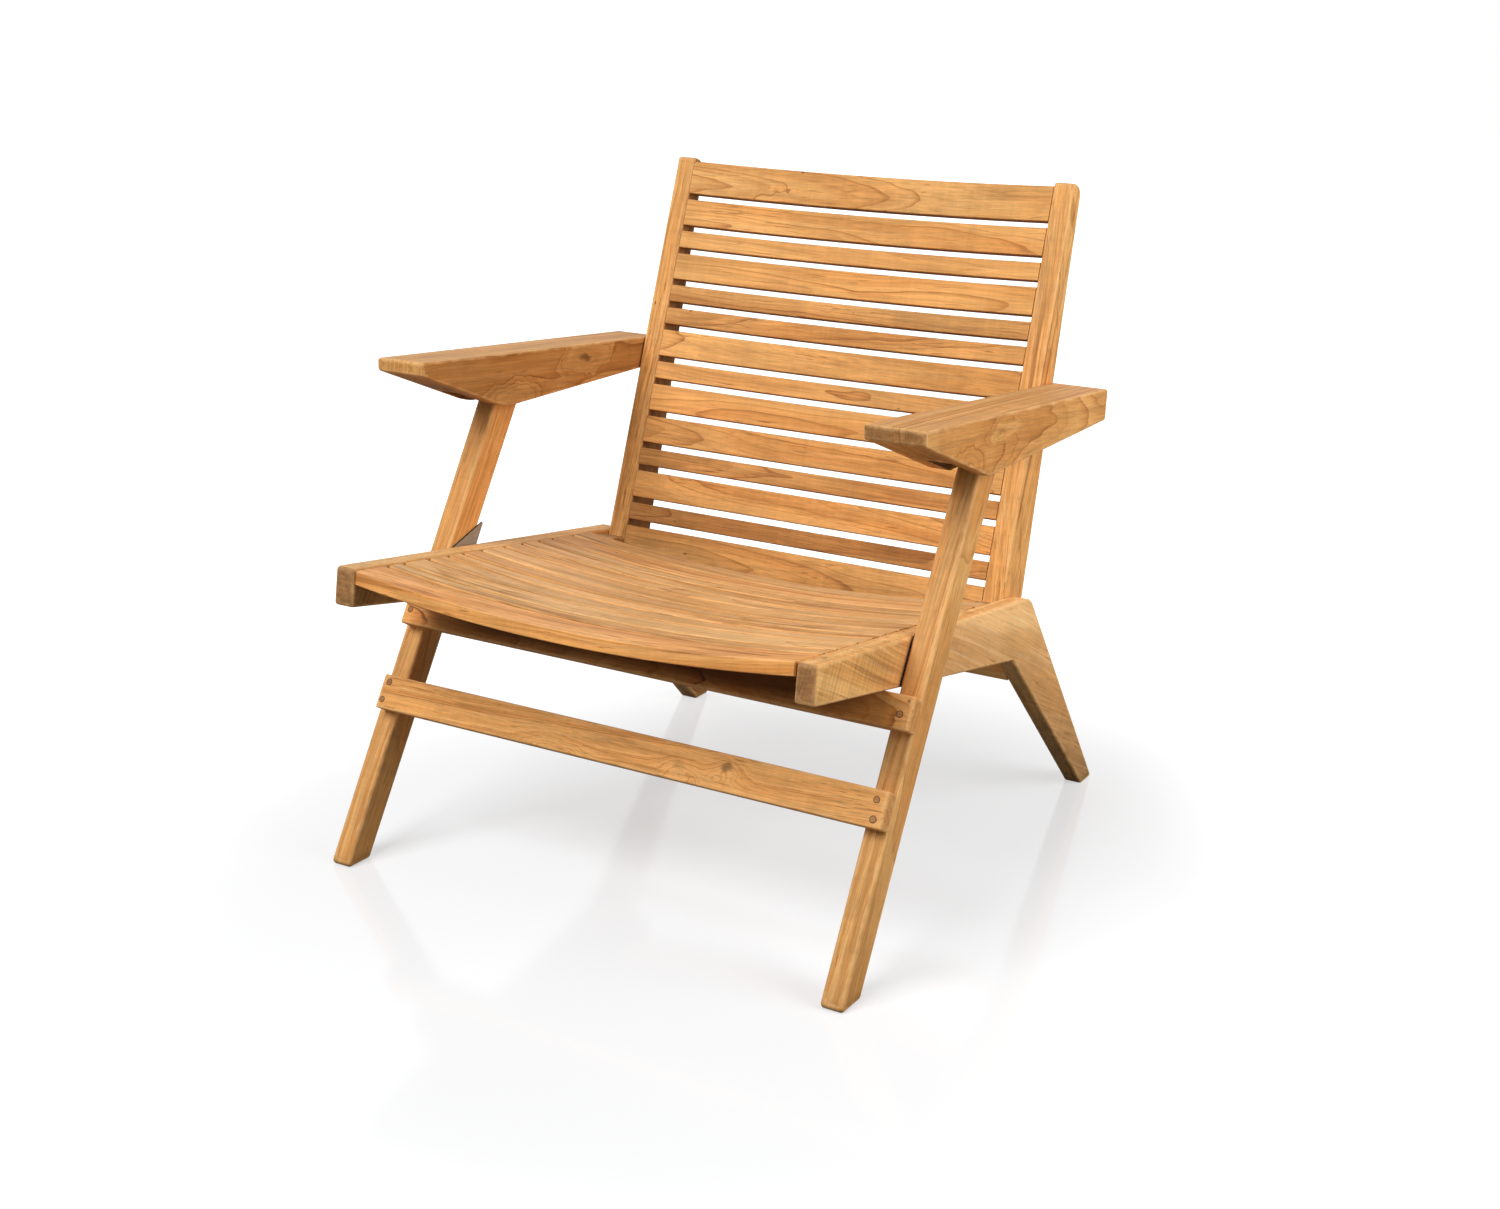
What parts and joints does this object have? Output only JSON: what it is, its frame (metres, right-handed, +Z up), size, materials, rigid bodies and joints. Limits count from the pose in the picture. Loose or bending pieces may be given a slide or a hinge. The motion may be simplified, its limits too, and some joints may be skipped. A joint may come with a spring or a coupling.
{
  "type": "folding armchair",
  "caption": "Low folding armchair in teak with a dished slatted seat, a dished slatted back that leans and wedge-shaped armrests.",
  "frame": {"origin": "middle of the footprint, on the floor", "axes": "+Z up; the sitter faces -Y; +X is the sitter's left; the chair is the same on both sides of X = 0"},
  "size_m": [0.7218, 0.7549, 0.7904],
  "materials": {
    "frame_wood": "oiled teak, light edge wear",
    "seat_wood": "oiled teak, worn lighter on top",
    "back_wood": "oiled teak",
    "arm_wood": "oiled teak, darker and worn",
    "plate_steel": "dull grey metal",
    "pivot_steel": "plain steel"
  },
  "bodies": {
    "seat_frame": {"side_frame_left": "frame_wood", "side_frame_right": "frame_wood", "seat_slat_01": "seat_wood", "seat_slat_02": "seat_wood", "seat_slat_03": "seat_wood", "seat_slat_04": "seat_wood", "seat_slat_05": "seat_wood", "seat_slat_06": "seat_wood", "seat_slat_07": "seat_wood", "seat_slat_08": "seat_wood", "seat_slat_09": "seat_wood", "seat_slat_10": "seat_wood", "seat_slat_11": "seat_wood", "seat_slat_12": "seat_wood", "rear_cross_rail": "frame_wood"},
    "back_frame": {"back_stile_left": "frame_wood", "back_stile_right": "frame_wood", "back_slat_01": "back_wood", "back_slat_02": "back_wood", "back_slat_03": "back_wood", "back_slat_04": "back_wood", "back_slat_05": "back_wood", "back_slat_06": "back_wood", "back_slat_07": "back_wood", "back_slat_08": "back_wood", "back_slat_09": "back_wood", "back_slat_10": "back_wood", "back_slat_11": "back_wood", "back_slat_12": "back_wood", "back_slat_13": "back_wood", "back_slat_14": "back_wood", "arm_spacer_left": "pivot_steel", "arm_spacer_right": "pivot_steel", "back_pivot_pin_left": "pivot_steel", "back_pivot_pin_right": "pivot_steel", "arm_rear_pin_left": "pivot_steel", "arm_rear_pin_right": "pivot_steel"},
    "front_legs": {"front_leg_left": "frame_wood", "front_leg_right": "frame_wood", "leg_plate_left": "plate_steel", "leg_plate_right": "plate_steel", "lower_stretcher": "frame_wood", "upper_stretcher": "frame_wood", "leg_pivot_pin_left": "pivot_steel", "leg_pivot_pin_right": "pivot_steel"},
    "armrest_left": {"armrest_left": "arm_wood", "arm_front_pin_left": "pivot_steel"},
    "armrest_right": {"armrest_right": "arm_wood", "arm_front_pin_right": "pivot_steel"}
  },
  "joints": [
    {"name": "back_fold", "type": "hinge", "parent": "seat_frame", "child": "back_frame", "pos_m": [0, 0.09953, 0.29452], "axis": [1, 0, 0], "range_deg": [0, 97.5]},
    {"name": "leg_fold", "type": "hinge", "parent": "seat_frame", "child": "front_legs", "pos_m": [0, -0.174, 0.30501], "axis": [1, 0, 0], "range_deg": [0, 97.5]},
    {"name": "left_armrest_pivot", "type": "hinge", "parent": "front_legs", "child": "armrest_left", "pos_m": [0.325, -0.03681, 0.54495], "axis": [-1, 0, 0], "range_deg": [0, 97.5]},
    {"name": "right_armrest_pivot", "type": "hinge", "parent": "front_legs", "child": "armrest_right", "pos_m": [-0.325, -0.03681, 0.54495], "axis": [-1, 0, 0], "range_deg": [0, 97.5]}
  ],
  "couplings": [
    {"joint": "leg_fold", "follows": "back_fold", "ratio": 1},
    {"joint": "left_armrest_pivot", "follows": "back_fold", "ratio": 1},
    {"joint": "right_armrest_pivot", "follows": "back_fold", "ratio": 1}
  ]
}
